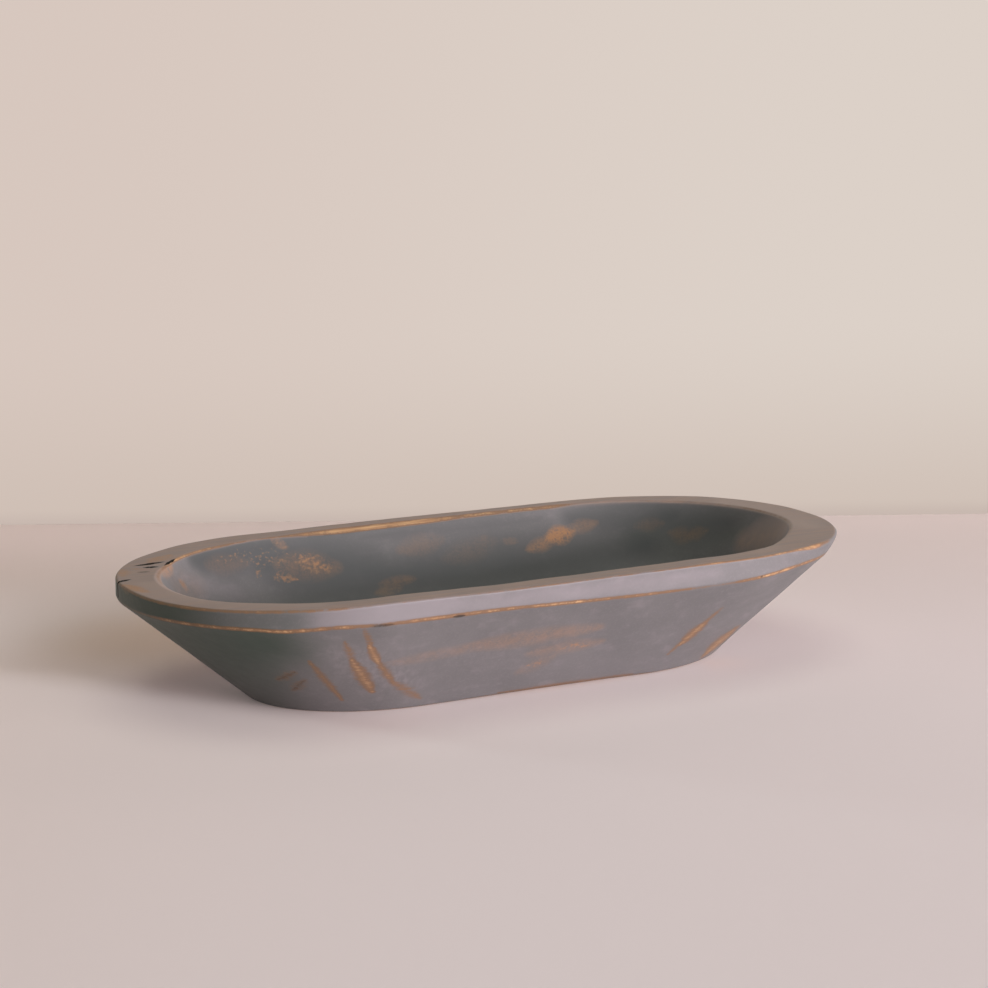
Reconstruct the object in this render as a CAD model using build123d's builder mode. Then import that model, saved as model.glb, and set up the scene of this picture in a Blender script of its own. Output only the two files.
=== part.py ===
"""A long carved wooden dough bowl, with the drying splits at one end stopped with dark filler.

Millimetres. +X runs along the bowl, +Z is up, and the origin is the centre of the base.
"""
import math
import os
from collections import namedtuple

from build123d import *

# Rim: a flat land with straight sides and round ends
RIM_LENGTH = 460
RIM_WIDTH = 237
HEIGHT = 76.5
SIDE_LAND = 17.5
END_LAND = 24.5

# Band: the nearly upright strip below the rim
BAND_HEIGHT = 12
BAND_DRAFT = 1

# Base: how far the rim stands out past it, and its straight sides
SIDE_FLARE = 51
END_FLARE = 74
BASE_STRAIGHT = 146

# Hollow: its wall leans in from the rim and turns into the floor
FLOOR_THICKNESS = 17
WALL_LEAN = 30
HOLLOW_RADIUS = 55

# Hand-worn arrises
RIM_ROUND = 1.5
MOUTH_ROUND = 2.5
BAND_ROUND = 1.5
BASE_ROUND = 2

# How near to a height an edge lies to count as lying at it
LEVEL = 0.01

# Drying splits at the -X end, each placed on the round of the rim or of the mouth.
# turn: degrees round that end from -X towards +Y. inset: how far inside that edge.
# grain: degrees from +X along which it opened. length, width, depth: of the stopped split.
Split = namedtuple("Split", "name edge turn inset grain length width depth")
SPLITS = [
    Split("long_split_filler", "rim", 33.5, 12.5, 10, 20, 3.2, 7),
    Split("short_split_filler", "rim", 28.5, 17.5, -12, 9, 2.8, 5),
    Split("edge_split_filler", "rim", 9, 3, 25, 12, 3, 9),
    Split("mouth_split_filler", "mouth", 34.5, 0.8, 55.5, 20, 3, 6),
]

# Outlines worked out from the sizes above
band_foot = HEIGHT - BAND_HEIGHT
foot_length = RIM_LENGTH - 2 * BAND_DRAFT
foot_width = RIM_WIDTH - 2 * BAND_DRAFT
base_length = RIM_LENGTH - 2 * END_FLARE
base_width = RIM_WIDTH - 2 * SIDE_FLARE
mouth_length = RIM_LENGTH - 2 * END_LAND
mouth_width = RIM_WIDTH - 2 * SIDE_LAND


def oval(length, width, straight):
    """A flat outline with straight sides and half-oval ends, centred on the origin."""
    end = (length - straight) / 2
    half = width / 2
    with BuildSketch() as outline:
        with BuildLine():
            EllipticalCenterArc((straight / 2, 0), end, half, -90, arc_size=180)
            Line((straight / 2, half), (-straight / 2, half))
            EllipticalCenterArc((-straight / 2, 0), end, half, 90, arc_size=180)
            Line((-straight / 2, -half), (straight / 2, -half))
        make_face()
    return outline.sketch


def split_plane(split):
    """The plane on the rim at a split's centre, with its x axis along the split."""
    if split.edge == "rim":
        length, width = RIM_LENGTH, RIM_WIDTH
    else:
        length, width = mouth_length, mouth_width
    reach = width / 2 - split.inset
    turn = math.radians(split.turn)
    x = -(length - width) / 2 - reach * math.cos(turn)
    y = reach * math.sin(turn)
    grain = math.radians(split.grain)
    return Plane((x, y, HEIGHT), x_dir=(math.cos(grain), math.sin(grain), 0), z_dir=(0, 0, 1))


os.makedirs("parts", exist_ok=True)

# The hollow: a leaning pocket the shape of the mouth, with a large round into its floor
with BuildPart() as hollow:
    with BuildSketch(Plane.XY.offset(HEIGHT)):
        SlotOverall(mouth_length, mouth_width)
    extrude(amount=FLOOR_THICKNESS - HEIGHT, taper=WALL_LEAN)
    fillet(hollow.faces().sort_by(Axis.Z)[0].edges(), HOLLOW_RADIUS)

# The bowl as carved, before its splits opened
with BuildPart() as carving:
    with BuildSketch(Plane.XY):
        add(oval(base_length, base_width, BASE_STRAIGHT))
    with BuildSketch(Plane.XY.offset(band_foot)):
        add(oval(foot_length, foot_width, foot_length - foot_width))
    with BuildSketch(Plane.XY.offset(HEIGHT)):
        add(oval(RIM_LENGTH, RIM_WIDTH, RIM_LENGTH - RIM_WIDTH))
    loft(ruled=True)
    add(hollow.part, mode=Mode.SUBTRACT)
    land = carving.faces().sort_by(Axis.Z)[-1]
    base = carving.faces().sort_by(Axis.Z)[0]
    foot_edges = carving.edges().filter_by_position(Axis.Z, band_foot - LEVEL, band_foot + LEVEL)
    mouth_edges = land.inner_wires()[0].edges()
    rim_edges = land.outer_wire().edges()
    base_edges = base.outer_wire().edges()
    fillet(mouth_edges, MOUTH_ROUND)
    fillet(rim_edges, RIM_ROUND)
    fillet(foot_edges, BAND_ROUND)
    fillet(base_edges, BASE_ROUND)

# The filler: one lens-shaped plug to each split, trimmed flush with the wood around it
plugs = []
for split in SPLITS:
    half_length = split.length / 2
    half_width = split.width / 2
    with BuildPart() as filler:
        with BuildSketch(split_plane(split)):
            with BuildLine():
                ThreePointArc((-half_length, 0), (0, half_width), (half_length, 0))
                ThreePointArc((half_length, 0), (0, -half_width), (-half_length, 0))
            make_face()
        extrude(amount=-split.depth)
        add(carving.part, mode=Mode.INTERSECT)
    filler.part.label = split.name
    export_step(filler.part, f"parts/{split.name}.step")
    plugs.append(filler.part)

# The bowl, open where the splits are
with BuildPart() as carved_bowl:
    add(carving.part)
    for plug in plugs:
        add(plug, mode=Mode.SUBTRACT)
carved_bowl.part.label = "carved_bowl"
export_step(carved_bowl.part, "parts/carved_bowl.step")
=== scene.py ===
"""A long carved dough bowl: one block of wood, painted slate grey and rubbed back by hand."""
import math

import bmesh
import bpy
import numpy as np
from mathutils import Matrix, Vector, noise
from mathutils.kdtree import KDTree


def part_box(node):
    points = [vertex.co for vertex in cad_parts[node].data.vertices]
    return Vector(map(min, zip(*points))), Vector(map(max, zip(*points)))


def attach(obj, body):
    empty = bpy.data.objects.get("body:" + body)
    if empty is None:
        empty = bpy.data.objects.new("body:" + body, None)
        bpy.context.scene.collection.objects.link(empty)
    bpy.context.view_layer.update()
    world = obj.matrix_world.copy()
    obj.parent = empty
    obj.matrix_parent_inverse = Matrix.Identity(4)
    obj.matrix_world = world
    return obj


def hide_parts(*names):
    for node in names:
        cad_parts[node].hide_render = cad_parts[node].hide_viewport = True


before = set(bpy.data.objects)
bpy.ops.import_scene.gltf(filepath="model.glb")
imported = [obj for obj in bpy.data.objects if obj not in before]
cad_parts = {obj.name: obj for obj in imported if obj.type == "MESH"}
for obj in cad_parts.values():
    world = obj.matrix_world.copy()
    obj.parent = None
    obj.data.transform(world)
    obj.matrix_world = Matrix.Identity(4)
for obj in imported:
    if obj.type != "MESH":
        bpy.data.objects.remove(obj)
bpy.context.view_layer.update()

# The carved bowl. The real one is a single block of softwood, hollowed with a gouge and sanded,
# with a flat rim, an upright band below it and straight flared sides. It is painted slate grey
# over a brown stain, and the paint is rubbed through at the arrises and in streaks.
MM = 0.001
bowl_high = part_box("carved_bowl")[1]
RIM_HALF_LENGTH = bowl_high.x
RIM_HALF_WIDTH = bowl_high.y
HEIGHT = bowl_high.z
SIDE_LAND = 17.5 * MM
END_LAND = 24.5 * MM
BAND_HEIGHT = 12 * MM
BAND_DRAFT = 1 * MM
SIDE_FLARE = 51 * MM
END_FLARE = 74 * MM
BASE_HALF_STRAIGHT = 73 * MM
FLOOR_THICKNESS = 17 * MM
WALL_LEAN = math.radians(30)
HOLLOW_RADIUS = 55 * MM

SIDE_STEPS = 110
END_STEPS = 176
SMOOTHED = 4


def ring(straight, end, half, height):
    """Points round one outline: near side, right end, far side, left end, seen from above."""
    along = np.linspace(-1, 1, SIDE_STEPS, endpoint=False)
    turn = np.linspace(-math.pi / 2, math.pi / 2, END_STEPS, endpoint=False)
    near = np.column_stack([straight * along, np.full(SIDE_STEPS, -half)])
    right = np.column_stack([straight + end * np.cos(turn), half * np.sin(turn)])
    flat = np.vstack([near, right, -near, -right])
    return np.column_stack([flat, np.full(len(flat), height)])


rim_straight = RIM_HALF_LENGTH - RIM_HALF_WIDTH
mouth_half = RIM_HALF_WIDTH - SIDE_LAND
mouth_straight = RIM_HALF_LENGTH - END_LAND - mouth_half
foot_half = RIM_HALF_WIDTH - BAND_DRAFT
floor_half = mouth_half - (HEIGHT - FLOOR_THICKNESS) * math.tan(WALL_LEAN)
base_half = RIM_HALF_WIDTH - SIDE_FLARE
base_end = RIM_HALF_LENGTH - END_FLARE - BASE_HALF_STRAIGHT

base_middle = ring(BASE_HALF_STRAIGHT, 0, 0, 0)
base_edge = ring(BASE_HALF_STRAIGHT, base_end, base_half, 0)
foot = ring(rim_straight, foot_half, foot_half, HEIGHT - BAND_HEIGHT)
rim = ring(rim_straight, RIM_HALF_WIDTH, RIM_HALF_WIDTH, HEIGHT)
mouth = ring(mouth_straight, mouth_half, mouth_half, HEIGHT)
floor_edge = ring(mouth_straight, floor_half, floor_half, FLOOR_THICKNESS)
floor_middle = ring(mouth_straight, 0, 0, FLOOR_THICKNESS)

# Distance round the rim from the tip of the left end, by way of the near side
rim_steps = np.linalg.norm(np.roll(rim, -1, axis=0) - rim, axis=1)
rim_round = rim_steps.sum()
left_tip = 2 * SIDE_STEPS + END_STEPS + END_STEPS // 2
station = (np.cumsum(rim_steps) - rim_steps - rim_steps[:left_tip].sum()) % rim_round
outward = rim - ring(rim_straight, 0, 0, HEIGHT)
outward /= np.linalg.norm(outward, axis=1)[:, None]


def round_the_rim(points):
    """A smooth value at each column, from (distance round the rim in mm, value) pairs."""
    places = [place * MM for place, value in points]
    values = [value for place, value in points]
    steps = np.interp(station, places, values, period=rim_round)
    return sum(np.roll(steps, shift) for shift in range(-SMOOTHED, SMOOTHED + 1)) / (2 * SMOOTHED + 1)


# Hand carving, in mm: how far the outlines stray outward and how much higher each arris runs
RIM_STRAY = [
    (0, 0), (37, 0.7), (75, 1.5), (101, 1.0), (120, 0.2), (165, -0.6), (250, 0.2), (340, 0), (400, -1.2),
    (455, -1.4), (470, 0.8), (484, 4.2), (492, 5.2), (505, 5.2), (523, 4.4), (543, 3.2), (560, 1.8),
    (590, -1.2), (618, -1.0), (684, -0.5), (725, -1.5), (770, -1.6), (850, -2.2), (893, -1.0), (940, 0.4),
    (960, 0.9), (1004, 0), (1050, 1.5), (1077, 1.0), (1112, 1.6), (1149, 1.4), (1175, 0.8),
]
FOOT_STRAY = [
    (0, 0.9), (60, 0), (480, 0), (495, -0.8), (512, -2.0), (530, -2.4), (550, -1.4), (575, -0.4), (620, 0),
    (1050, 0), (1112, 1.0), (1149, 1.8),
]
MOUTH_STRAY = [
    (0, 0.6), (31, 1.6), (64, 2.6), (85, 1.4), (105, 0.4), (127, 0.9), (165, -0.6), (190, -0.9), (262, 0.7),
    (330, 0.2), (400, -0.3), (467, -0.6), (492, -2.8), (519, -3.2), (545, -1.0), (566, 1.0), (590, 0.8),
    (635, 1.3), (703, 1.7), (750, 2.2), (804, 3.8), (849, 3.4), (893, 1.5), (977, 0.9), (1015, -1.1),
    (1072, -1.8), (1124, -2.6), (1142, -1.2), (1165, 0.2),
]
FOOT_RISE = [
    (0, 0.9), (70, 1.0), (107, 0.5), (125, -0.7), (152, 0.7), (186, -0.1), (254, 0.3), (317, -1.2),
    (350, -1.9), (400, -1.9), (428, -0.8), (465, 1.2), (486, 2.4), (505, 3.6), (545, 5.2), (575, 3.8),
    (640, 0.5), (790, 0.4), (880, 1.1), (960, -0.6), (1050, 0.5), (1130, -0.3),
]
RIM_RISE = [
    (0, 0.2), (60, -0.3), (120, -0.1), (186, 0.4), (254, -0.2), (320, 0.0), (420, 0.4), (475, -0.3),
    (600, 0.1), (760, -0.4), (900, 0.2), (1010, -0.3), (1110, 0.1),
]
FOOT_FOLLOWS_RIM = 0.8
# The band is flat but for the right end, where it swells between its foot and the rim
BAND_SWELL = [(490, 0), (515, 0.8), (535, 2.0), (560, 2.0), (585, 0.8), (620, 0)]
rim += outward * round_the_rim(RIM_STRAY)[:, None] * MM
foot += outward * (round_the_rim(RIM_STRAY) * FOOT_FOLLOWS_RIM + round_the_rim(FOOT_STRAY))[:, None] * MM
mouth += outward * round_the_rim(MOUTH_STRAY)[:, None] * MM
foot[:, 2] += round_the_rim(FOOT_RISE) * MM
rim[:, 2] += round_the_rim(RIM_RISE) * MM
mouth[:, 2] += round_the_rim(RIM_RISE) * MM

# How far each arris is bevelled away, in mm, and how much of its paint is rubbed off, 0 to 1
RIM_BEVEL = [
    (0, 1.4), (20, 2.0), (150, 2.0), (180, 1.1), (254, 1.3), (300, 1.2), (320, 0.9), (400, 1.1),
    (462, 1.4), (474, 3.0), (484, 3.0), (493, 1.4), (700, 1.4), (860, 1.0), (980, 1.6), (1100, 1.2),
]
MOUTH_BEVEL = [
    (0, 3.6), (30, 4.4), (80, 4.2), (120, 2.6), (180, 1.4), (400, 1.2), (600, 1.8), (770, 1.4), (790, 2.8),
    (860, 3.0), (890, 3.8), (960, 4.0), (985, 2.2), (1003, 0.9), (1030, 1.0), (1046, 1.6), (1120, 1.6),
    (1150, 2.2), (1170, 3.2),
]
FOOT_BEVEL = [
    (0, 1.6), (140, 2.0), (250, 1.9), (340, 1.7), (400, 1.3), (450, 1.8), (700, 1.2), (900, 1.6),
    (1080, 1.2),
]
BASE_BEVEL = [
    (0, 1.8), (200, 1.6), (290, 3.0), (370, 3.0), (420, 1.8), (640, 2.0), (900, 1.6), (1100, 2.0),
]
RIM_RUB = [
    (0, 0.5), (18, 0.75), (35, 0.95), (100, 1.0), (150, 1.0), (162, 0.6), (180, 0.4), (240, 0.4),
    (256, 0.6), (310, 0.65), (330, 0.6), (380, 0.8), (395, 1.1), (462, 1.2), (472, 1.7), (484, 1.6),
    (491, 0.2), (600, 0.2), (700, 0.6), (850, 0.3), (1000, 0.35), (1120, 0.4), (1160, 0.55),
]
MOUTH_RUB = [
    (0, 0.3), (50, 0.35), (90, 0.3), (480, 0.3), (560, 0.25), (600, 0.35), (640, 0.3), (690, 0.2),
    (772, 0.25), (784, 0.9), (860, 1.1), (886, 1.6), (960, 1.6), (978, 1.1), (995, 0.6), (1010, 0.4),
    (1030, 0.45), (1042, 0.95), (1110, 1.1), (1130, 0.7), (1150, 0.35),
]
FOOT_RUB = [
    (0, 0.3), (30, 0.35), (46, 0.85), (60, 0.95), (150, 1.0), (166, 0.85), (172, 0.5), (190, 0.5),
    (200, 0.75), (280, 0.85), (340, 0.75), (372, 0.6), (385, 0.3), (408, 0.3), (420, 1.0), (470, 0.95),
    (490, 0.65), (530, 0.5), (560, 0.5), (640, 0.9), (720, 0.6), (860, 1.0), (1000, 0.85), (1100, 0.7),
    (1160, 0.4),
]
BASE_RUB = [
    (0, 0.45), (150, 0.6), (200, 0.45), (250, 0.6), (275, 0.75), (370, 0.75), (395, 0.7), (450, 0.7),
    (520, 0.45), (700, 0.75), (860, 0.5), (960, 0.75), (1100, 0.5),
]
# How flat a worn arris is, and how evenly the rows of a face are spread, both from 0 to 1
FLATNESS = 0.45
EVENNESS = 0.3


def towards(start, end, reach):
    """Points that lie reach along the way from start to end, column by column."""
    way = end - start
    return start + way * (reach / np.linalg.norm(way, axis=1))[:, None]


def run(start, end, steps):
    """Rows from start up to end, closer together near both."""
    share = np.linspace(0, 1, steps, endpoint=False)
    share = EVENNESS * share + (1 - EVENNESS) * (1 - np.cos(math.pi * share)) / 2
    return [start + (end - start) * t for t in share]


def turn(before, corner, after, reach, steps, flatness):
    """Rows round a worn corner, from reach before it to reach after it."""
    start = towards(corner, before, reach)
    end = towards(corner, after, reach)
    pull = corner + ((start + end) / 2 - corner) * flatness
    share = np.linspace(0, 1, steps, endpoint=False)
    return [start * (1 - t) ** 2 + pull * 2 * t * (1 - t) + end * t ** 2 for t in share]


# Rows of points up each face and round each arris
BASE_ROWS = 10
BASE_TURN_ROWS = 5
SIDE_ROWS = 34
FOOT_TURN_ROWS = 6
BAND_ROWS = 9
RIM_TURN_ROWS = 7
LAND_ROWS = 12
MOUTH_TURN_ROWS = 7
WALL_ROWS = 16
HOLLOW_TURN_ROWS = 26
FLOOR_ROWS = 10
columns = len(rim)
base_reach = round_the_rim(BASE_BEVEL) * MM
foot_reach = round_the_rim(FOOT_BEVEL) * MM
rim_reach = round_the_rim(RIM_BEVEL) * MM
mouth_reach = round_the_rim(MOUTH_BEVEL) * MM
hollow_reach = np.full(columns, HOLLOW_RADIUS * math.tan(math.pi / 4 - WALL_LEAN / 2))
band_rows = run(towards(foot, rim, foot_reach), towards(rim, foot, rim_reach), BAND_ROWS)
# The swell is full halfway up the band and nothing at its edges
for row, share in zip(band_rows, np.linspace(0, 1, BAND_ROWS, endpoint=False)):
    row += outward * round_the_rim(BAND_SWELL)[:, None] * 4 * share * (1 - share) * MM
outside_rows = (
    run(base_middle, towards(base_edge, base_middle, base_reach), BASE_ROWS)
    + turn(base_middle, base_edge, foot, base_reach, BASE_TURN_ROWS, FLATNESS)
    + run(towards(base_edge, foot, base_reach), towards(foot, base_edge, foot_reach), SIDE_ROWS)
    + turn(base_edge, foot, rim, foot_reach, FOOT_TURN_ROWS, FLATNESS)
    + band_rows
)
inside_rows = (
    turn(foot, rim, mouth, rim_reach, RIM_TURN_ROWS, FLATNESS)
    + run(towards(rim, mouth, rim_reach), towards(mouth, rim, mouth_reach), LAND_ROWS)
    + turn(rim, mouth, floor_edge, mouth_reach, MOUTH_TURN_ROWS, FLATNESS)
    + run(towards(mouth, floor_edge, mouth_reach), towards(floor_edge, mouth, hollow_reach), WALL_ROWS)
    + turn(mouth, floor_edge, floor_middle, hollow_reach, HOLLOW_TURN_ROWS, 0)
    + run(towards(floor_edge, floor_middle, hollow_reach), floor_middle, FLOOR_ROWS)
    + [floor_middle]
)
rows = outside_rows + inside_rows
first = np.arange(columns)
second = np.roll(first, -1)
quads = np.vstack([
    np.column_stack([first, second, second + columns, first + columns]) + row * columns
    for row in range(len(rows) - 1)
])
# Points of the middle lines that fall together become one
SAME_POINT = 0.01 * MM
bowl_mesh = bpy.data.meshes.new("carved_bowl_rubbed")
bowl_mesh.from_pydata(np.vstack(rows), [], quads.tolist())
shaping = bmesh.new()
shaping.from_mesh(bowl_mesh)
bmesh.ops.remove_doubles(shaping, verts=shaping.verts, dist=SAME_POINT)

# The sander left every face very slightly wavy, but the base stands flat
WAVE_DEPTH = 0.22 * MM
WAVES_PER_METRE = 38
WAVES_FADE_BELOW = 8 * MM
shaping.normal_update()
for vertex in shaping.verts:
    lift = min(vertex.co.z / WAVES_FADE_BELOW, 1)
    vertex.co += vertex.normal * WAVE_DEPTH * lift * noise.noise(vertex.co * WAVES_PER_METRE)
shaping.to_mesh(bowl_mesh)
shaping.free()
bowl_mesh.shade_smooth()
bowl = bpy.data.objects.new("carved_bowl_rubbed", bowl_mesh)
bpy.context.scene.collection.objects.link(bowl)

# Drying splits at the left end. Each one: its filler, middle x and y in mm, grain in degrees,
# and length, width and depth in mm
SPLITS = [
    ("long_split_filler", -198.5, 58.8, 8, 21, 5.0, 7),
    ("short_split_filler", -200.3, 48.8, -12, 10, 4.6, 5),
    ("edge_split_filler", -225.8, 18.8, 25, 12, 3.8, 9),
    ("mouth_split_filler", -185.6, 57.8, 53, 21, 2.2, 6),
]
# The prism of a split stands above the rim, and its two sides waver by a share of the width
LENS_STEPS = 14
LENS_ABOVE = 4 * MM
WAVERS = 3
LEFT_WAVER = 0.5
RIGHT_WAVER = 0.4
SHARP_FROM = math.radians(50)


def split_lens(name, split, scale):
    """An upright prism with the wavering lens outline of a split."""
    x, y, grain, length, width, depth = split[1:]
    share = np.linspace(-1, 1, LENS_STEPS, endpoint=False)
    waver = np.array([noise.noise(Vector((x, y, WAVERS * t))) for t in share])
    half = width / 2 * (1 - share ** 2)
    left = np.column_stack([share * length / 2, half * (1 + LEFT_WAVER * waver)])
    right = np.column_stack([-share * length / 2, -half * (1 - RIGHT_WAVER * waver[::-1])])
    outline = np.vstack([left, right]) * scale
    angle = math.radians(grain)
    spin = np.array([[math.cos(angle), math.sin(angle)], [-math.sin(angle), math.cos(angle)]])
    flat = (outline @ spin + (x, y)) * MM
    count = len(flat)
    low = np.column_stack([flat, np.full(count, HEIGHT - depth * MM)])
    high = np.column_stack([flat, np.full(count, HEIGHT + LENS_ABOVE)])
    around = [(k, k + count, (k + 1) % count + count, (k + 1) % count) for k in range(count)]
    ends = [tuple(range(count)), tuple(range(2 * count - 1, count - 1, -1))]
    mesh = bpy.data.meshes.new(name)
    mesh.from_pydata(np.vstack([low, high]), [], around + ends)
    turned = bmesh.new()
    turned.from_mesh(mesh)
    bmesh.ops.recalc_face_normals(turned, faces=turned.faces)
    turned.to_mesh(mesh)
    turned.free()
    lens = bpy.data.objects.new(name, mesh)
    bpy.context.scene.collection.objects.link(lens)
    return lens


def cut(piece, tool, operation):
    """Replaces the piece's mesh with the piece cut by the tool."""
    step = piece.modifiers.new(operation.lower(), "BOOLEAN")
    step.operation = operation
    step.object = tool
    step.solver = "EXACT"
    done = bpy.data.meshes.new_from_object(piece.evaluated_get(bpy.context.evaluated_depsgraph_get()))
    piece.modifiers.clear()
    piece.data = done


# A whole copy is kept to shape the fillers, and then the splits are cut
uncut = bowl.copy()
uncut.data = bowl_mesh.copy()
bpy.context.scene.collection.objects.link(uncut)
for split in SPLITS:
    lens = split_lens("split_tool", split, 1)
    bpy.context.view_layer.update()
    cut(bowl, lens, "DIFFERENCE")
    bpy.data.objects.remove(lens)
bowl_mesh = bowl.data
bowl_mesh.shade_smooth()
bowl_mesh.set_sharp_from_angle(angle=SHARP_FROM)

# Where the paint is rubbed off the arrises, kept at each point: most on the arris itself, and fading
# across its bevel
EDGE_PARTS = 4
FADE_FROM = 1.2
FADE_REACH = 0.8
FADE_EXTRA = 0.15 * MM
arris = np.zeros(len(bowl_mesh.vertices))
for corner, reach, rub in ((rim, rim_reach, RIM_RUB), (foot, foot_reach, FOOT_RUB),
                           (mouth, mouth_reach, MOUTH_RUB), (base_edge, base_reach, BASE_RUB)):
    amount = round_the_rim(rub)
    edge = KDTree(EDGE_PARTS * columns)
    for column in range(columns):
        step = corner[(column + 1) % columns] - corner[column]
        for part in range(EDGE_PARTS):
            edge.insert(corner[column] + step * part / EDGE_PARTS, EDGE_PARTS * column + part)
    edge.balance()
    for vertex in bowl_mesh.vertices:
        index, distance = edge.find(vertex.co)[1:]
        column = index // EDGE_PARTS
        fade = FADE_FROM - distance / (FADE_REACH * reach[column] + FADE_EXTRA)
        arris[vertex.index] = max(arris[vertex.index], amount[column] * min(max(fade, 0), 1))

# Broad soft marks, each from, to, half width in mm, and strength.
# Rubbed thin, so that the brown under the paint shows through
VEILS = [
    ((-104, -95, 36), (-40, -99, 41), 7, 0.2), ((-60, -99, 40), (28, -101, 43), 10, 0.3),
    ((-14, -90, 30), (34, -92, 32), 8, 0.26), ((-16, -80, 16), (4, -86, 25), 8, 0.18),
    ((86, 90, 58), (106, 91, 60), 9, 1.3), ((70, 87, 52), (92, 89, 57), 7, 0.6),
    ((102, 92, 62), (124, 92, 64), 7, 0.4), ((36, 92, 62), (46, 92, 62), 4, 0.4),
    ((52, 91, 59), (66, 91, 58), 4, 0.3), ((10, 86, 52), (48, 91, 60), 11, 0.1),
    ((-40, 80, 42), (-14, 81, 43), 5, 0.3), ((-44, 77, 37), (-26, 78, 38), 5, 0.3),
    ((-20, 92, 60), (10, 94, 64), 10, 0.16), ((166, 65, 57), (177, 53, 54), 8, 0.22),
    ((174, 56, 55), (183, 47, 60), 7, 0.22), ((148, 81, 61), (164, 73, 62), 7, 0.13),
    ((-104, 91, 60), (-66, 89, 54), 13, 0.22), ((-160, 80, 66), (-126, 90, 64), 9, 0.13),
    ((-106, 101, 75), (-96, 96, 69), 4, 0.5), ((-190, 30, 55), (-164, 62, 60), 24, 0.12),
    ((-222, 32, 76.5), (-217, 50, 76.5), 6, 0.7), ((-228, 8, 76.5), (-222, -18, 76.5), 6, 0.9),
    ((-213, 50, 76.5), (-202, 44, 76.5), 3, 0.8), ((-196, 64, 76.5), (-180, 78, 76.5), 8, 0.9),
    ((-197, 30, 76), (-186, 54, 74), 6, 0.6), ((-184, 51, 65), (-177, 54, 58), 5, 0.7),
    ((16, 98, 39), (92, 102, 44), 10, 0.28), ((-70, 90, 29), (-24, 92, 32), 8, 0.24),
    ((40, 82, 19), (70, 84, 22), 7, 0.2), ((198, 24, 46), (182, 66, 46), 9, 0.24),
]
# Worn through in small flecks
FLECKS = [
    ((-136, 92, 69), (-84, 91, 60), 12, 0.4), ((-90, 93, 62), (-72, 88, 54), 10, 0.9),
    ((-110, 87, 53), (-94, 86, 50), 4, 1.1), ((-122, 89, 58), (-118, 87, 53), 4, 1.0),
    ((-150, 85, 68), (-134, 90, 66), 5, 0.5), ((86, 90, 58), (106, 92, 61), 8, 0.8),
    ((8, -91, 30), (26, -91, 31), 5, 0.8), ((-12, -83, 20), (0, -85, 23), 5, 0.7),
    ((-204, 55, 76.5), (-192, 62, 76.5), 6, 0.7), ((-228, 8, 76.5), (-222, -16, 76.5), 5, 1.1),
    ((36, 98, 39), (66, 100, 42), 6, 0.8), ((-56, 90, 29), (-40, 91, 31), 5, 0.8),
]
# Painted shade in broad soft patches: a dark green tint on the left end and the near left corner, which
# turn away from the lamps, and on the hollow's right end
SHADED_BAND = [
    ((-226, -36, 70), (-228, 30, 70), 222, 1.05), ((-194, -85, 70), (-165, -105, 70), 60, 0.45),
]
SHADED_SIDE = [((-178, -84, 58), (-214, 30, 60), 110, 1.1)]
SHADED_RIGHT_END = [((146, 78, 54), (194, 26, 60), 38, 0.5)]
# Painted shade in the hollow: a dark grey tint over its far wall and both ends
SHADED_INSIDE = [
    ((-116, 90, 64), (-30, 86, 46), 54, 1.0), ((-50, 84, 46), (150, 72, 50), 46, 0.95),
    ((-167, 77, 71), (-104, 99, 70), 28, 1.0), ((-60, 98, 70), (84, 98, 70), 20, 0.55),
    ((108, 96, 68), (172, 70, 66), 34, 0.8), ((150, 84, 66), (200, 30, 66), 26, 0.75),
]
# Pale paint: painted light on the hollow's right end and low in its far left, paler paint on the near band
# that is partly chalky and partly painted light where the band faces the lamps, chalky strokes, and the
# land paler at both ends, partly as painted sheen
PAINTED_LIGHT_INSIDE = [
    ((208, -60, 70), (200, 2, 64), 40, 1.3), ((-174, 62, 60), (-136, 76, 48), 20, 0.5),
]
PALE_AND_LIT_BAND = [
    ((-142, -113.5, 71), (-80, -119, 71), 56, 1.0), ((-120, -119, 70), (100, -119, 70), 16, 0.8),
]
STROKED = [
    ((-140, -99, 47), (-84, -80, 20), 28, 1.0), ((-70, -96, 38), (-20, -88, 26), 20, 0.5),
]
PALED = [
    ((-216, 4, 76.5), (-196, -56, 76.5), 26, 0.9), ((-206, -40, 76.5), (-146, -100, 76.5), 26, 0.9),
    ((204, -50, 76.5), (206, 60, 76.5), 34, 0.9),
]
# The land's brown runs on into the hollow at the right end, partly as painted light on the inner end wall
RUN_IN = [((207, -48, 72), (194, 14, 57), 26, 1.1)]
# Every mark narrows to both ends, and a rubbed one keeps its strength nearer to its edge
NARROWING = 0.55
RUBBED_EDGE = 0.7
points = np.array([vertex.co for vertex in bowl_mesh.vertices])


def patches(marks, edge=1):
    """At each point the deepest of several marks, which fade out over a share of their half width."""
    deepest = np.full(len(points), -1.0)
    for start, end, half, strength in marks:
        start = np.array(start) * MM
        way = np.array(end) * MM - start
        share = np.clip((points - start) @ way / (way @ way), 0, 1)
        away = np.linalg.norm(points - start - share[:, None] * way, axis=1)
        narrowed = half * MM * (1 - NARROWING * (2 * share - 1) ** 2)
        deepest = np.maximum(deepest, strength * np.minimum((1 - away / narrowed) / edge, 1))
    return deepest


# Outside faces look away from the line along the bowl's middle, or down where they lie flat
FLAT_FROM = 0.8
NEAR_RIM = 5 * MM
normals = np.array([vertex.normal for vertex in bowl_mesh.vertices])
upward = normals[:, 2]
middle = np.clip(points[:, 0], -rim_straight, rim_straight)
faces_out = normals[:, 0] * (points[:, 0] - middle) + normals[:, 1] * points[:, 1] > 0
lies_flat = (np.abs(upward) > FLAT_FROM) & (points[:, 2] < HEIGHT - NEAR_RIM)
faces_out = np.where(lies_flat, upward < 0, faces_out)
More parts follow.
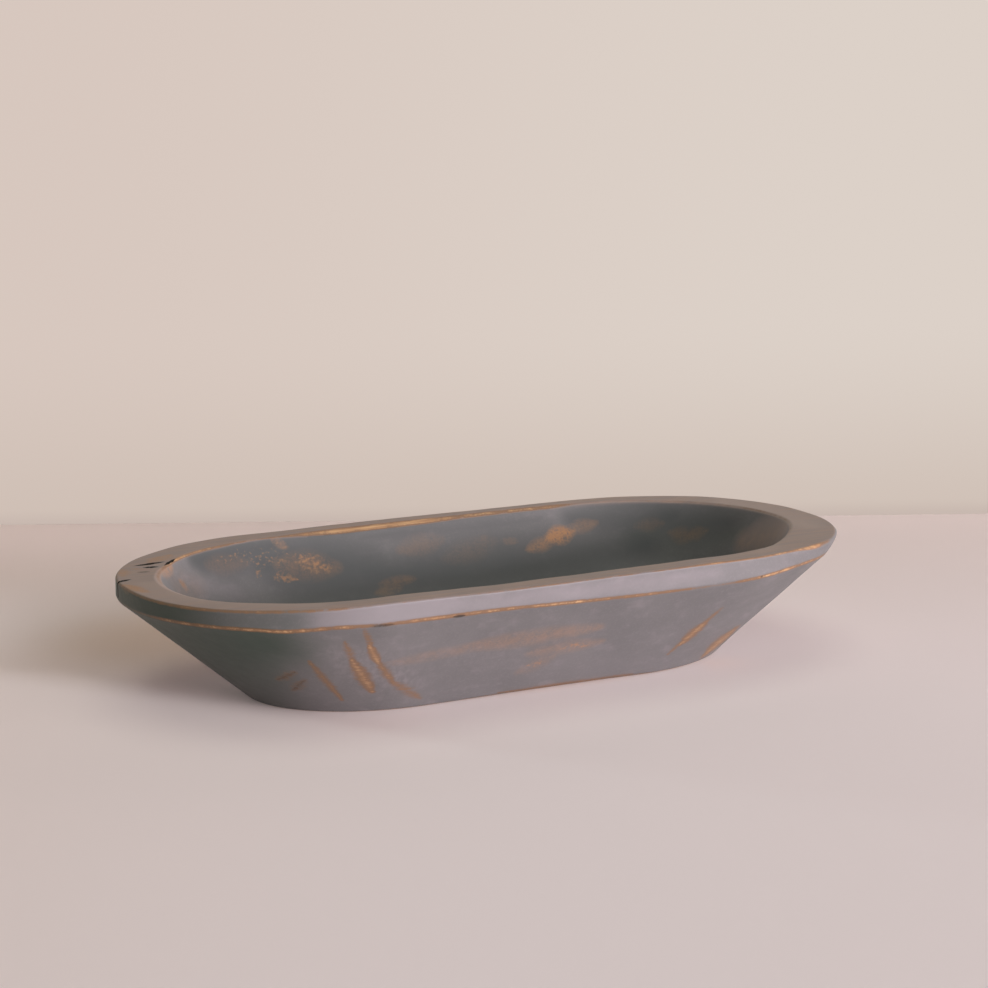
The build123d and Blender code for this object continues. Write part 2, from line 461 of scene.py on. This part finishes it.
# The land ends sharply at the rim, and runs on into the softer edge of the mouth.
# Each edge: how far up a face looks where the land starts, and how much more where it is full
LAND_DEPTH = 2.5 * MM
RIM_START, RIM_MORE = 0.8, 0.15
MOUTH_START, MOUTH_MORE = 0.5, 0.3
land = np.where(faces_out, (upward - RIM_START) / RIM_MORE, (upward - MOUTH_START) / MOUTH_MORE)
land = np.where(points[:, 2] > HEIGHT - LAND_DEPTH, np.clip(land, 0, 1), 0)
land = np.maximum(land, np.where(faces_out, 0, np.clip(patches(RUN_IN), 0, 1)))
# The band stands upright, and the flared sides below it look down
BAND_FROM = -0.3
on_band = upward > BAND_FROM
shaded_outside = np.where(on_band, patches(SHADED_BAND), patches(SHADED_SIDE))
kept = {
    "arris": arris, "land": land,
    "veil": patches(VEILS, RUBBED_EDGE), "fleck": patches(FLECKS, RUBBED_EDGE),
    "green_shade": np.where(faces_out, shaded_outside, patches(SHADED_RIGHT_END)),
    "grey_shade": np.where(faces_out, -1, patches(SHADED_INSIDE)),
    "pale_and_lit": np.where(faces_out & on_band, patches(PALE_AND_LIT_BAND), patches(PAINTED_LIGHT_INSIDE)),
    "stroke": patches(STROKED), "pale": patches(PALED),
}
for name, values in kept.items():
    bowl_mesh.attributes.new(name, "FLOAT", "POINT").data.foreach_set("value", values)


def add(tree, kind, sockets, **settings):
    """A shader node. Each named or numbered input takes a value or another node's socket."""
    made = tree.nodes.new("ShaderNode" + kind)
    for name, value in settings.items():
        setattr(made, name, value)
    for key, value in sockets.items():
        if isinstance(value, bpy.types.NodeSocket):
            tree.links.new(value, made.inputs[key])
        else:
            made.inputs[key].default_value = value
    return made


def maths(tree, operation, *values):
    """The result of one Math node."""
    return add(tree, "Math", dict(enumerate(values)), operation=operation).outputs[0]


def vectors(tree, operation, *values):
    """The result of one Vector Math node that gives a vector."""
    return add(tree, "VectorMath", dict(enumerate(values)), operation=operation).outputs["Vector"]


def between(tree, value, low, high):
    """0 below low, 1 above high, and a smooth step from one to the other."""
    sockets = {"Value": value, "From Min": low, "From Max": high}
    return add(tree, "MapRange", sockets, interpolation_type="SMOOTHSTEP").outputs["Result"]


def blend(tree, factor, under, over):
    """One colour laid over another by a factor."""
    return add(tree, "Mix", {0: factor, 6: under, 7: over}, data_type="RGBA").outputs[2]


def cloud(tree, place, scale, detail):
    """Noise from about 0 to 1 at so many cells to the metre, or with a scale for each axis."""
    if isinstance(scale, tuple):
        place = vectors(tree, "MULTIPLY", place, scale)
        scale = 1
    sockets = {"Vector": place, "Scale": scale, "Detail": detail, "Roughness": 0.55}
    return add(tree, "TexNoise", sockets).outputs["Fac"]


# A fine streak in the paint: 1 along its middle, 0 at its edge and less beyond, narrowing to both ends
streak = bpy.data.node_groups.new("streak", "ShaderNodeTree")
for name in ("Place", "From", "To"):
    streak.interface.new_socket(name, in_out="INPUT", socket_type="NodeSocketVector")
streak.interface.new_socket("Width", in_out="INPUT", socket_type="NodeSocketFloat")
streak.interface.new_socket("Depth", in_out="OUTPUT", socket_type="NodeSocketFloat")
given = streak.nodes.new("NodeGroupInput").outputs
way = vectors(streak, "SUBTRACT", given["To"], given["From"])
reach = vectors(streak, "SUBTRACT", given["Place"], given["From"])
along = add(streak, "VectorMath", {0: reach, 1: way}, operation="DOT_PRODUCT").outputs["Value"]
whole = add(streak, "VectorMath", {0: way, 1: way}, operation="DOT_PRODUCT").outputs["Value"]
share = add(streak, "Math", {0: along, 1: whole}, operation="DIVIDE", use_clamp=True).outputs[0]
nearest = add(streak, "VectorMath", {0: way, "Scale": share}, operation="SCALE").outputs["Vector"]
away = add(streak, "VectorMath", {0: reach, 1: nearest}, operation="DISTANCE").outputs["Value"]
off_middle = maths(streak, "MULTIPLY_ADD", share, 2.0, -1.0)
off_squared = maths(streak, "MULTIPLY", off_middle, off_middle)
narrowing = maths(streak, "MULTIPLY_ADD", off_squared, -NARROWING, 1.0)
half_width = maths(streak, "MULTIPLY", given["Width"], narrowing)
depth = maths(streak, "SUBTRACT", 1.0, maths(streak, "DIVIDE", away, half_width))
result = streak.nodes.new("NodeGroupOutput")
streak.links.new(depth, result.inputs["Depth"])


def streaks(tree, place, marks):
    """The deepest of several streaks: from, to and half width in mm, and strength from 0 to about 1."""
    deepest = None
    for start, end, half, strength in marks:
        made = tree.nodes.new("ShaderNodeGroup")
        made.node_tree = streak
        tree.links.new(place, made.inputs["Place"])
        made.inputs["From"].default_value = Vector(start) * MM
        made.inputs["To"].default_value = Vector(end) * MM
        made.inputs["Width"].default_value = half * MM
        depth = maths(tree, "MULTIPLY", made.outputs["Depth"], strength)
        deepest = depth if deepest is None else maths(tree, "MAXIMUM", deepest, depth)
    return maths(tree, "MAXIMUM", deepest, -1.0)


# Scraped to the wood: streaks down the corners, dashes by them, a dab inside and a line at the base.
# Each mark: from, to, half width in mm, and strength
SCRAPES = [
    ((-126, -116, 63), (-117, -104, 49), 2.4, 0.5), ((-119, -105, 51), (-110, -95, 37), 3.6, 1.0),
    ((-112, -97, 40), (-96, -83, 20), 3.2, 0.6), ((-98, -84, 22), (-76, -72, 7), 3.6, 0.4),
    ((-134, -106, 55), (-124, -93, 39), 2.6, 0.4), ((-126, -95, 41), (-107, -76, 16), 5.0, 0.9),
    ((-149, -87, 42), (-122, -66, 10), 3.0, 0.6), ((-159, -60, 26), (-153, -74, 33), 3.4, 0.28),
    ((-149, -57, 18), (-146, -71, 27), 3.4, 0.28), ((86, -78, 14), (111, -101, 45), 2.8, 0.5),
    ((92, -83, 20), (104, -94, 36), 5.4, 0.85), ((123, -61, 5.5), (137, -71, 20.5), 12.0, 1.0),
    ((-186, 51, 66), (-179, 54, 60), 3.0, 0.5), ((-24, -68.5, 2), (66, -68.5, 2), 2.4, 0.45),
    ((-104, 100, 44), (-88, 84, 22), 4.0, 0.8), ((104, 99, 42), (116, 82, 20), 3.4, 0.6),
]
# Nearly black: painted shadow in short stretches under the band's foot, and stain in one more dry crack on
# the rim and in the dashes
BLACK_STAINS_AND_SHADOWS = [
    ((-126, -117, 64), (-108, -117, 64), 1.8, 0.9), ((-149, -112, 65), (-143, -114, 65), 1.6, 0.9),
    ((-72, -117, 64), (-65, -117, 64), 1.6, 0.9), ((130, -115, 64), (132, -115, 64), 1.3, 1.0),
    ((-211, 38, 76.5), (-205, 36, 76.5), 2.4, 0.8), ((-230, 22, 75), (-229, 17, 70), 1.6, 0.8),
    ((-159, -60, 26), (-153, -74, 33), 2.8, 0.4), ((-149, -57, 18), (-146, -71, 27), 2.8, 0.4),
]
PAINT = (0.155, 0.158, 0.156, 1)
PAINT_WORN = (0.134, 0.138, 0.136, 1)
# Pale paint, also used as painted light in the hollow and on the near band
PALE_PAINT_AND_LIGHT = (0.216, 0.208, 0.212, 1)
# Painted shade: dark green where the bowl turns away from the lamps
SHADE_GREEN = (0.037, 0.061, 0.046, 1)
# Painted shade: dark grey in the hollow
HOLLOW_SHADE_GREY = (0.057, 0.067, 0.067, 1)
# The land's colours, light and warm partly as a painted sheen
LAND_BROWN = (0.338, 0.250, 0.201, 1)
LAND_GREY = (0.270, 0.217, 0.189, 1)
LAND_PALE = (0.362, 0.283, 0.239, 1)
BROWN = (0.375, 0.205, 0.095, 1)
STAIN = (0.2, 0.112, 0.052, 1)
# Nearly black: stain, and painted shadow under the band's foot
BLACK_STAIN_AND_SHADOW = (0.022, 0.019, 0.014, 1)
WOOD_LIGHT = (0.54, 0.35, 0.175, 1)
WOOD_DARK = (0.33, 0.185, 0.088, 1)

paint = bpy.data.materials.new("slate_paint_on_wood")
paint.use_nodes = True
tree = paint.node_tree
shader = tree.nodes["Principled BSDF"]
place = add(tree, "TexCoord", {}).outputs["Object"]
at_point = {name: add(tree, "Attribute", {}, attribute_name=name).outputs["Fac"] for name in kept}
# Unevenness of the wood and of the paint: cells to the metre, and how finely they break up
grain = cloud(tree, place, (34.0, 620.0, 620.0), 3.0)
tooth = cloud(tree, place, 700.0, 2.0)
patch = cloud(tree, place, 150.0, 3.0)
mottle = cloud(tree, place, 32.0, 4.0)
brushed = cloud(tree, place, (26.0, 210.0, 210.0), 3.0)
scuff = cloud(tree, place, (90.0, 40.0, 160.0), 3.0)
speck = cloud(tree, place, (380.0, 460.0, 460.0), 2.0)
strokes = cloud(tree, place, (330.0, 330.0, 60.0), 3.0)


def about(tree, value, half):
    """Noise of about 0 to 1 turned into about -half to half."""
    return maths(tree, "MULTIPLY", maths(tree, "SUBTRACT", value, 0.5), 2 * half)


def total(tree, first, *others):
    """The sum of several values."""
    for other in others:
        first = maths(tree, "ADD", first, other)
    return first


# Where each kind of wear lies, from 0 to 1, with its edge frayed by the unevenness
SCRAPE_BARES = 0.55
scraped = total(tree, streaks(tree, place, SCRAPES), about(tree, grain, 0.4), about(tree, tooth, 0.3))
stain_and_shadow = total(tree, streaks(tree, place, BLACK_STAINS_AND_SHADOWS), about(tree, tooth, 0.3))
ragged = total(tree, about(tree, tooth, 0.4), about(tree, patch, 0.9), about(tree, mottle, 0.7), 1.0)
worn = maths(tree, "MULTIPLY", at_point["arris"], ragged)
flecked = between(tree, maths(tree, "MULTIPLY_ADD", at_point["fleck"], 0.3, speck), 0.62, 1.0)
flecked = maths(tree, "MULTIPLY", flecked, between(tree, at_point["fleck"], 0.0, 0.4))
thinned = between(tree, total(tree, patch, about(tree, tooth, 0.5)), 0.0, 0.75)
veiled = maths(tree, "MULTIPLY", thinned, maths(tree, "MAXIMUM", at_point["veil"], 0.0))
green_shaded = between(tree, total(tree, at_point["green_shade"], about(tree, mottle, 0.2)), 0.0, 1.0)
grey_shaded = between(tree, total(tree, at_point["grey_shade"], about(tree, mottle, 0.2)), 0.0, 1.0)
pale_and_lit_paint = between(tree, total(tree, at_point["pale_and_lit"], about(tree, scuff, 0.3)), 0.0, 1.0)
stroked = between(tree, at_point["stroke"], 0.0, 1.0)
stroked = maths(tree, "MULTIPLY", between(tree, strokes, 0.3, 0.8), stroked)
pale_and_lit_paint = maths(tree, "MAXIMUM", pale_and_lit_paint, stroked)
bare = maths(tree, "MULTIPLY", between(tree, scraped, 0.3, 1.2), SCRAPE_BARES)
bare = maths(tree, "MAXIMUM", bare, between(tree, worn, 0.5, 1.1))
wood = blend(tree, between(tree, grain, 0.35, 0.65), WOOD_DARK, WOOD_LIGHT)

# The land's paint is rubbed brown along the grain, and paler at both ends; its light warm tone is partly a
# painted sheen, the backdrop's warm colour seen in the flat top at a low angle
PALE_COVER = 0.8
land_paled = maths(tree, "MULTIPLY", between(tree, at_point["pale"], 0.0, 1.0), PALE_COVER)
land_brown = blend(tree, between(tree, brushed, 0.35, 0.65), LAND_GREY, LAND_BROWN)
land_brown = blend(tree, land_paled, land_brown, LAND_PALE)
colour = blend(tree, between(tree, mottle, 0.3, 0.7), PAINT_WORN, PAINT)
# What lies over the paint, the lowest first: where it is, how well it covers, and its colour
for mask, cover, over in (
    (between(tree, scuff, 0.5, 0.85), 0.6, PALE_PAINT_AND_LIGHT),
    (between(tree, tooth, 0.45, 0.8), 0.3, PALE_PAINT_AND_LIGHT),
    (pale_and_lit_paint, 0.8, PALE_PAINT_AND_LIGHT),
    (green_shaded, 0.98, SHADE_GREEN),
    (grey_shaded, 0.92, HOLLOW_SHADE_GREY),
    (at_point["land"], 0.95, land_brown),
    (veiled, 1.0, BROWN),
    (between(tree, scraped, -0.2, 0.5), 0.8, STAIN),
    (between(tree, worn, 0.1, 0.45), 0.85, STAIN),
    (flecked, 0.75, BROWN),
    (bare, 1.0, wood),
    (between(tree, stain_and_shadow, 0.0, 0.7), 0.85, BLACK_STAIN_AND_SHADOW),
):
    colour = blend(tree, maths(tree, "MULTIPLY", mask, cover), colour, over)
tree.links.new(colour, shader.inputs["Base Color"])
# Brushed paint is uneven in gloss, and bare wood lies a little deeper than the paint
ROUGH_SPREAD = 0.16
ROUGH_LEAST = 0.44
BRUSH_HEIGHT = 0.4
BARE_HEIGHT = -0.6
PAINT_DEPTH = 0.12 * MM
rough = maths(tree, "MULTIPLY_ADD", brushed, ROUGH_SPREAD, ROUGH_LEAST)
tree.links.new(rough, shader.inputs["Roughness"])
height = maths(tree, "MULTIPLY_ADD", bare, BARE_HEIGHT, maths(tree, "MULTIPLY", brushed, BRUSH_HEIGHT))
bump = add(tree, "Bump", {"Strength": 0.35, "Distance": PAINT_DEPTH, "Height": height})
tree.links.new(bump.outputs["Normal"], shader.inputs["Normal"])
bowl_mesh.materials.clear()
bowl_mesh.materials.append(paint)
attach(bowl, "root")
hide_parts("carved_bowl")

# The split fillers. In each drying split sits a plug of dark stopping, which was pressed in soft,
# set hard and was levelled with the rim before the bowl was painted. It holds by the split's own
# wavering sides, and it has shrunk a hair below the wood.
FILLER_SLACK = 0.97
FILLER_SINK = Vector((0.036, 0, -0.06)) * MM
STOPPING_BLACK = (0.004, 0.004, 0.003, 1)
STOPPING_BROWN = (0.018, 0.016, 0.012, 1)
STOPPING_CRUMBS = 900.0
CRUMB_DEPTH = 0.2 * MM
stopping = bpy.data.materials.new("dark_stopping")
stopping.use_nodes = True
tree = stopping.node_tree
shader = tree.nodes["Principled BSDF"]
crumb = cloud(tree, add(tree, "TexCoord", {}).outputs["Object"], STOPPING_CRUMBS, 3.0)
tree.links.new(blend(tree, crumb, STOPPING_BLACK, STOPPING_BROWN), shader.inputs["Base Color"])
shader.inputs["Roughness"].default_value = 0.9
shader.inputs["Specular IOR Level"].default_value = 0.15
bump = add(tree, "Bump", {"Strength": 0.5, "Distance": CRUMB_DEPTH, "Height": crumb})
tree.links.new(bump.outputs["Normal"], shader.inputs["Normal"])
uncut.location = FILLER_SINK
for split in SPLITS:
    filler = split_lens(split[0] + "_pressed", split, FILLER_SLACK)
    bpy.context.view_layer.update()
    cut(filler, uncut, "INTERSECT")
    filler.data.materials.clear()
    filler.data.materials.append(stopping)
    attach(filler, "root")
    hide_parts(split[0])
bpy.data.objects.remove(uncut)

# The floor: a wide pale sheet under the bowl, warmer to the left and paler to the front, both as painted
# light and shade, with a painted shadow, warm and dark, to the left of the bowl. Far off it shows its plain
# colour instead of the lamps' light, and a little in front a share of it, as painted light
FLOOR_FRONT_LEFT = (0.93, 0.775, 0.685, 1)
FLOOR_FRONT_RIGHT = (0.97, 0.87, 0.855, 1)
FLOOR_BACK_LEFT = (0.96, 0.83, 0.775, 1)
FLOOR_BACK_RIGHT = (0.80, 0.72, 0.685, 1)
FLOOR_PAINTED_SHADOW = (0.82, 0.64, 0.525, 1)
FLOOR_PLAIN = (0.83, 0.74, 0.72, 1)
PAINTED_SHADOW_SPOT = (-0.21, 0.08, 0)
PAINTED_LIGHT_SHARE = 0.3
STAGE_TURN = math.radians(-28.4)
STAGE_REACH = 4.0
STAGE_ROUGH = 0.9
# Where its colours pass into each other, in metres to the right, to the front or off the painted shadow's
# spot
LEFT_TO_RIGHT = (-0.45, 0.1)
BACK_TO_FRONT = (-0.45, 0.15)
OFF_SHADOW_SPOT = (-0.13, -0.02)
FAR_OFF = (0.8, 1.5)
# Where it shows a share of its plain colour as painted light over the shade: to the front right, aslant in
# front, and off to the left
LIFT_RIGHT = (-0.3, 0.1)
LIFT_RIGHT_SHARE = 0.86
LIFT_SLANT = -0.5
LIFT_ASLANT = (0.13, 0.19)
LIFT_LEFT = (0.27, 0.4)
LIFT_LEFT_FRONT = (-0.3, -0.1)


def sheet(name, corners):
    """A flat staging sheet with a new material, in the stage's own directions."""
    mesh = bpy.data.meshes.new(name)
    mesh.from_pydata(corners, [], [(0, 1, 2, 3)])
    made = bpy.data.objects.new(name, mesh)
    made.rotation_euler = (0, 0, STAGE_TURN)
    look = bpy.data.materials.new(name)
    look.use_nodes = True
    look.node_tree.nodes["Principled BSDF"].inputs["Roughness"].default_value = STAGE_ROUGH
    mesh.materials.append(look)
    bpy.context.scene.collection.objects.link(made)
    return look.node_tree


def lay_over(tree, factor, over):
    """Lays another shader over what the material shows, by a factor."""
    surface = tree.nodes["Material Output"].inputs["Surface"]
    under = surface.links[0].from_socket
    tree.links.new(add(tree, "MixShader", {0: factor, 1: under, 2: over}).outputs[0], surface)


def seen(tree):
    """1 where the camera looks, straight or by way of gloss or glass."""
    path = add(tree, "LightPath", {}).outputs
    bounced = maths(tree, "MAXIMUM", path["Is Glossy Ray"], path["Is Transmission Ray"])
    return maths(tree, "MAXIMUM", path["Is Camera Ray"], bounced)


corners = ((-1, -1), (1, -1), (1, 1), (-1, 1))
tree = sheet("floor", [(x * STAGE_REACH, y * STAGE_REACH, 0) for x, y in corners])
place = add(tree, "TexCoord", {}).outputs["Object"]
spot = add(tree, "SeparateXYZ", {0: place}).outputs
forward = maths(tree, "MULTIPLY", spot["Y"], -1.0)
leftward = maths(tree, "MULTIPLY", spot["X"], -1.0)
to_right = between(tree, spot["X"], *LEFT_TO_RIGHT)
to_front = between(tree, forward, *BACK_TO_FRONT)
back_colour = blend(tree, to_right, FLOOR_BACK_LEFT, FLOOR_BACK_RIGHT)
front_colour = blend(tree, to_right, FLOOR_FRONT_LEFT, FLOOR_FRONT_RIGHT)
colour = blend(tree, to_front, back_colour, front_colour)
# The painted shadow: warm and dark round a spot to the left of the bowl
off_shadow_spot = add(tree, "VectorMath", {0: place, 1: PAINTED_SHADOW_SPOT}, operation="DISTANCE").outputs["Value"]
painted_shadow = between(tree, maths(tree, "MULTIPLY", off_shadow_spot, -1.0), *OFF_SHADOW_SPOT)
colour = blend(tree, painted_shadow, colour, FLOOR_PAINTED_SHADOW)
tree.links.new(colour, tree.nodes["Principled BSDF"].inputs["Base Color"])
right_front = maths(tree, "MULTIPLY", to_front, LIFT_RIGHT_SHARE)
right_front = maths(tree, "MULTIPLY", between(tree, spot["X"], *LIFT_RIGHT), right_front)
aslant = between(tree, maths(tree, "MULTIPLY_ADD", spot["X"], LIFT_SLANT, forward), *LIFT_ASLANT)
off_left = between(tree, leftward, *LIFT_LEFT)
off_left = maths(tree, "MULTIPLY", off_left, between(tree, forward, *LIFT_LEFT_FRONT))
lifted = maths(tree, "MAXIMUM", maths(tree, "MAXIMUM", right_front, aslant), off_left)
# A share of the plain colour, as painted light
painted_light = maths(tree, "MULTIPLY", lifted, PAINTED_LIGHT_SHARE)
from_middle = add(tree, "VectorMath", {0: place}, operation="LENGTH").outputs["Value"]
far_off = between(tree, from_middle, *FAR_OFF)
plain = maths(tree, "MULTIPLY", maths(tree, "MAXIMUM", far_off, painted_light), seen(tree))
lay_over(tree, plain, add(tree, "Emission", {"Color": FLOOR_PLAIN}).outputs[0])

# The backdrop: a pale board that stands close behind the bowl and grows a little darker to its foot and to
# the left, as painted shade.
# It shows its plain colour, lets the lamps' light through and can't be seen from behind
BACKDROP_LEFT = (0.680, 0.573, 0.517, 1)
BACKDROP_RIGHT = (0.716, 0.636, 0.578, 1)
BACKDROP_SHADED_LOW = (0.612, 0.513, 0.452, 1)
BACKDROP_SHADED_FOOT = (0.560, 0.465, 0.418, 1)
BACKDROP_GREY = (0.6, 0.58, 0.54, 1)
BACKDROP_BEHIND = 0.485
BACKDROP_HEIGHT = 0.6
BACKDROP_ACROSS = (-0.45, 0.3)
BACKDROP_UP = (-0.05, 0.17)
BACKDROP_FOOT_UP = (-0.004, 0.014)
tree = sheet("backdrop", [
    (-STAGE_REACH, BACKDROP_BEHIND, 0), (STAGE_REACH, BACKDROP_BEHIND, 0),
    (STAGE_REACH, BACKDROP_BEHIND, BACKDROP_HEIGHT), (-STAGE_REACH, BACKDROP_BEHIND, BACKDROP_HEIGHT),
])
spot = add(tree, "SeparateXYZ", {0: add(tree, "TexCoord", {}).outputs["Object"]}).outputs
high_colour = blend(tree, between(tree, spot["X"], *BACKDROP_ACROSS), BACKDROP_LEFT, BACKDROP_RIGHT)
# Painted shade: darker low down and at the foot
colour = blend(tree, between(tree, spot["Z"], *BACKDROP_UP), BACKDROP_SHADED_LOW, high_colour)
colour = blend(tree, between(tree, spot["Z"], *BACKDROP_FOOT_UP), BACKDROP_SHADED_FOOT, colour)
tree.nodes["Principled BSDF"].inputs["Base Color"].default_value = BACKDROP_GREY
lay_over(tree, seen(tree), add(tree, "Emission", {"Color": colour}).outputs[0])
shadow_ray = add(tree, "LightPath", {}).outputs["Is Shadow Ray"]
from_behind = add(tree, "NewGeometry", {}).outputs["Backfacing"]
unseen = maths(tree, "MAXIMUM", shadow_ray, from_behind)
lay_over(tree, unseen, add(tree, "BsdfTransparent", {}).outputs[0])

# The light: low soft windows to the front right, one broad lamp above and a little fill from behind
# without glare. Each lamp: name, degrees round from the front, degrees up, width, height, watts, colour
KEY_LIGHT = (1.11, 0.95, 1.025)
SKY_LIGHT = (0.985, 1.025, 0.935)
LAMPS = [
    ("low_window", 22, 6, 2.8, 1.0, 203, KEY_LIGHT),
    ("low_window_right", 50, 6, 2.8, 1.0, 115, KEY_LIGHT),
    ("front_window", 5, 17, 2.8, 1.4, 38, KEY_LIGHT),
    ("high_window", 20, 40, 3.4, 3.4, 27, SKY_LIGHT),
    ("above", 0, 88, 4.0, 4.0, 52, SKY_LIGHT),
    ("back_left", -150, 25, 3.4, 2.4, 5, SKY_LIGHT),
    ("behind", 180, 6, 2.8, 1.0, 40, KEY_LIGHT),
    ("left", -115, 25, 3.4, 2.4, 2, SKY_LIGHT),
]
LAMP_DISTANCE = 5.0
LAMP_AIM = Vector((0, 0, 0.04))
for name, azimuth, elevation, width, tall, watts, colour in LAMPS:
    azimuth, elevation = math.radians(azimuth), math.radians(elevation)
    level = math.cos(elevation)
    at = Vector((math.sin(azimuth) * level, -math.cos(azimuth) * level, math.sin(elevation)))
    at *= LAMP_DISTANCE
    lamp = bpy.data.lights.new(name, "AREA")
    lamp.shape = "RECTANGLE"
    lamp.size = width
    lamp.size_y = tall
    lamp.energy = watts
    lamp.color = colour
    stand = bpy.data.objects.new(name, lamp)
    stand.visible_camera = False
    stand.visible_glossy = math.cos(azimuth) > 0
    aim = (LAMP_AIM - at).to_track_quat("-Z", "Y").to_matrix().to_4x4()
    stand.matrix_world = Matrix.Translation(at) @ aim
    bpy.context.scene.collection.objects.link(stand)

# The room beyond the sheets: pale to look at, and without light of its own
ROOM_PALE = (0.74, 0.65, 0.60, 1)
room = bpy.data.worlds.new("room")
room.use_nodes = True
tree = room.node_tree
background = tree.nodes["Background"]
background.inputs["Color"].default_value = ROOM_PALE
tree.links.new(seen(tree), background.inputs["Strength"])
bpy.context.scene.world = room

# The camera, where the photograph was taken from
CAMERA_AZIMUTH = -0.41976
CAMERA_ELEVATION = 0.17944
CAMERA_ROLL = -0.02566
CAMERA_DISTANCE = 1.47584
CAMERA_RIGHT = 6.51869 * MM
CAMERA_UP = 107.7583 * MM
FOCAL_PIXELS = 2351.85
IMAGE_PIXELS = 988
level = math.cos(CAMERA_ELEVATION)
back = Vector((
    math.sin(CAMERA_AZIMUTH) * level, -math.cos(CAMERA_AZIMUTH) * level, math.sin(CAMERA_ELEVATION),
))
right = Vector((math.cos(CAMERA_AZIMUTH), math.sin(CAMERA_AZIMUTH), 0))
up = back.cross(right)
eye = right * CAMERA_RIGHT + up * CAMERA_UP + back * CAMERA_DISTANCE
rolled_right = right * math.cos(CAMERA_ROLL) + up * math.sin(CAMERA_ROLL)
rolled_up = up * math.cos(CAMERA_ROLL) - right * math.sin(CAMERA_ROLL)
camera = bpy.data.cameras.new("camera")
camera.sensor_width = 36
camera.lens = FOCAL_PIXELS * camera.sensor_width / IMAGE_PIXELS
camera_stand = bpy.data.objects.new("camera", camera)
facing = Matrix((rolled_right, rolled_up, back)).transposed().to_4x4()
camera_stand.matrix_world = Matrix.Translation(eye) @ facing
bpy.context.scene.collection.objects.link(camera_stand)
bpy.context.scene.camera = camera_stand
bpy.context.scene.view_settings.view_transform = "Standard"
